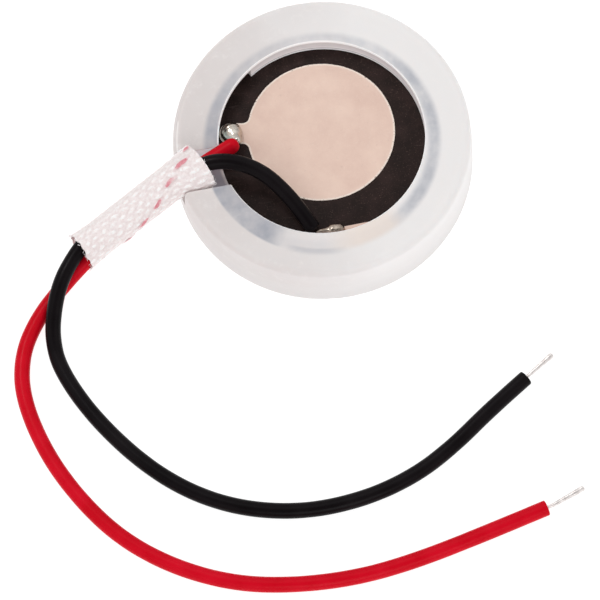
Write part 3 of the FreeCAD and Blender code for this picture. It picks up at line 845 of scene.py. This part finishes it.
def make_tracer(material):
    """Coloured yarn: soft lens-shaped floats on a long spiral, tucked under between them."""
    rows, columns = 40, 18
    first_half, other_half = 0.36, 0.76
    half_width, rise_height, sunk = 0.2, 0.06, 0.015
    slope = 0.268
    degrees_per_mm = 57.3 / SLEEVE_RADIUS
    run = np.linspace(-1, 1, rows)[:, None]
    around = np.linspace(0, 2 * math.pi, columns, endpoint=False)[None, :]
    body = 1 - (0.995 * run) ** 2
    rise = np.sin(around)
    proud = rise_height * np.where(rise > 0, body * rise, rise) - sunk
    tint = np.clip(body * np.clip(rise, 0, 1) ** 0.5, 0, 1)
    shells = []
    for number, (distance, angle) in enumerate(TRACER_FLOATS):
        half = first_half if number == 0 else other_half
        wavy = 0.03 * np.sin(run * 5 + number)
        across = half_width * body * np.cos(around) + wavy
        along = np.clip(distance + half * run + 0 * across, 0.02, SLEEVE_LENGTH - 0.02)
        turn = angle + (across - half * run * slope) * degrees_per_mm
        points = sleeve_point(along, turn, proud).reshape(-1, 3)
        points = np.vstack([points, points[:columns].mean(0), points[-columns:].mean(0)])
        shells.append((points, capped_faces(rows, columns)))
    points, faces = join(shells)
    tints = np.concatenate([tint.ravel(), [0, 0]])
    return add_piece(
        "sleeve_yarn", points, faces, material, ["sleeve_tracer"],
        {"height": np.tile(tints, len(shells))},
    )


# ---------------------------------------------------------------- solder and back electrode

BACK_FACE = 4.05  # of the ceramic
PASTE_TOP = 4.08


def rounded_join(distances, reach):
    """Smooth union of signed distances."""
    joined = distances[0]
    for other in distances[1:]:
        blend = np.clip(0.5 + 0.5 * (other - joined) / reach, 0, 1)
        joined = other + (joined - other) * blend - reach * blend * (1 - blend)
    return joined


def rod_distance(points, start, start_radius, end, end_radius):
    """Signed distance from points to a tapered rod with round ends."""
    start, end = np.array(start), np.array(end)
    run = end - start
    share = np.clip((points - start) @ run / (run @ run), 0, 1)
    radius = start_radius + (end_radius - start_radius) * share
    return np.linalg.norm(points - start - share[..., None] * run, axis=-1) - radius


def boundary(shape, far, is_inside):
    """Distances from a centre to a form's surface, halved in on from 0 and far."""
    near = np.zeros(shape)
    far = np.full(shape, far)
    for _ in range(24):
        middle = (near + far) / 2
        inside = is_inside(middle)
        near = np.where(inside, middle, near)
        far = np.where(inside, far, middle)
    return near


def make_blob(name, centre, rods, blend, material, node):
    """Solder that wets its pad: rods melted into one form round a centre."""
    rows, columns = 96, 128
    polar, azimuth = np.meshgrid(
        np.linspace(0.01, math.pi - 0.01, rows),
        np.linspace(0, 2 * math.pi, columns, endpoint=False), indexing="ij",
    )
    heading = np.stack([
        np.sin(polar) * np.cos(azimuth), np.sin(polar) * np.sin(azimuth), np.cos(polar),
    ], axis=-1)

    def is_inside(reach):
        points = np.array(centre) + heading * reach[..., None]
        return rounded_join([rod_distance(points, *rod) for rod in rods], blend) < 0

    reach = boundary(polar.shape, 2.6, is_inside)
    dents = np.sin(azimuth * 3 + polar * 4) * np.sin(polar * 5 - azimuth) * np.sin(polar)
    points = np.array(centre) + heading * (reach * (1 + 0.02 * dents))[..., None]
    points[..., 2] = np.maximum(points[..., 2], PASTE_TOP + 0.003)
    points = points.reshape(-1, 3)
    points = np.vstack([points, points[:columns].mean(0), points[-columns:].mean(0)])
    faces = [face[::-1] for face in capped_faces(rows, columns)]
    return add_piece(name, points, faces, material, [node])


def electrode_outline(count):
    """Outline of the round electrode with its tab, as points anticlockwise in X and Y."""
    middle = np.array([0, 1.12])
    middle_radius = 6.3
    pad = np.array([-7.65, 1.85])
    pad_radius = 1
    neck = np.array([math.cos(math.radians(174)), math.sin(math.radians(174))])
    neck_half_width, neck_half_length = 0.95, 3
    heading = np.linspace(0, 2 * math.pi, 4000, endpoint=False)
    out = np.stack([np.cos(heading), np.sin(heading)], axis=1)

    def is_inside(radius):
        points = middle + out * radius[:, None]
        round_part = np.linalg.norm(points - middle, axis=1) - middle_radius
        from_pad = points - pad
        pad_part = np.linalg.norm(from_pad, axis=1) - pad_radius
        back = np.abs(from_pad @ neck + neck_half_length) - neck_half_length
        aside = np.abs(from_pad @ np.array([-neck[1], neck[0]])) - neck_half_width
        tab = np.minimum(np.maximum(back, aside), pad_part)
        return rounded_join([round_part, tab], 0.5) < 0

    near = boundary(heading.shape, 10.0, is_inside)
    ripple = 0.006 * np.sin(heading * 23 + 2 * np.sin(heading * 5))
    ripple += 0.006 * np.sin(heading * 91 + 3 * np.sin(heading * 7))
    outline = middle + out * (near + ripple)[:, None]
    closed = np.vstack([outline, outline[:1]])
    along = lengths(closed)
    wanted = np.linspace(0, along[-1], count, endpoint=False)
    return np.stack([np.interp(wanted, along, closed[:, axis]) for axis in range(2)], axis=1)


def make_back_electrode(material):
    """Screen-printed paste with a slightly raised edge."""
    count = 700
    outline = electrode_outline(count)
    ahead = np.roll(outline, -1, axis=0) - np.roll(outline, 1, axis=0)
    ahead /= np.linalg.norm(ahead, axis=1)[:, None]
    inward = np.stack([-ahead[:, 1], ahead[:, 0]], axis=1)
    rings = []
    edges = []
    for inset, height, edge in (
        (0, BACK_FACE, 1), (0, PASTE_TOP - 0.005, 1), (0.03, PASTE_TOP + 0.008, 1),
        (0.1, PASTE_TOP + 0.006, 0.8), (0.2, PASTE_TOP, 0.2), (0.45, PASTE_TOP, 0),
    ):
        flat = outline + inward * inset
        rings.append(np.column_stack([flat, np.full(count, height)]))
        edges.append(np.full(count, edge))
    faces = grid_faces(len(rings), count)
    last = (len(rings) - 1) * count
    faces.append(tuple(range(last, last + count)))
    return add_piece(
        "back_paste", np.vstack(rings), faces, material, ["back_electrode"],
        {"edge": np.concatenate(edges)},
    )


# ---------------------------------------------------------------- the part

place_camera()
make_floor()
light_world()
add_light("key", (-0.25, 0.35, 0.75), 0.2, 1.3)
add_light("fill", (0.1, -0.75, 0.45), 0.5, 1.4)
bpy.context.scene.view_settings.view_transform = "Standard"

red_pvc = insulation("red_pvc", srgb(204, 5, 27), srgb(220, 16, 40))
black_pvc = insulation("black_pvc", srgb(14, 10, 12), srgb(24, 20, 22))
tinned = tinned_copper()
make_lead("red", RED_ROUTE, RED_TIP, red_pvc, tinned, 0.67)
make_lead("black", BLACK_ROUTE, BLACK_TIP, black_pvc, tinned, 0.35)
glass = glass_fibre()
make_sleeve(glass)
make_fray(glass)
make_tracer(tracer_yarn())

paste = silver_paste()
make_back_electrode(paste)
make_blob("red_solder", (-7.5, 1.6, 4.3), [
    ((-7.6, 1.85, 4.18), 0.93, (-7.58, 1.8, 4.2), 0.9),
    ((-7.55, 1.6, 4.4), 0.62, (-7.15, 0.85, 4.9), 0.4),
], 0.25, solder("red_solder", srgb(196, 186, 174), srgb(232, 226, 216)), "red_solder_joint")
make_blob("black_solder", (0.3, -8.1, 4.4), [
    ((0.08, -8.1, 4.42), 0.52, (0.62, -8.08, 4.36), 0.5),
    ((0.1, -8.1, 4.5), 0.3, (-1.2, -8.2, 4.68), 0.2),
], 0.1, solder("black_solder", srgb(112, 96, 84), srgb(206, 192, 178)), "black_solder_joint")
looks = {
    "seal_ring": silicone(), "piezo_disc": ceramic(), "front_electrode": paste,
    "edge_electrode": paste, "front_glaze": glaze(),
}
for node, material in looks.items():
    shown = NODES[node]
    shown.data.materials.clear()
    shown.data.materials.append(material)
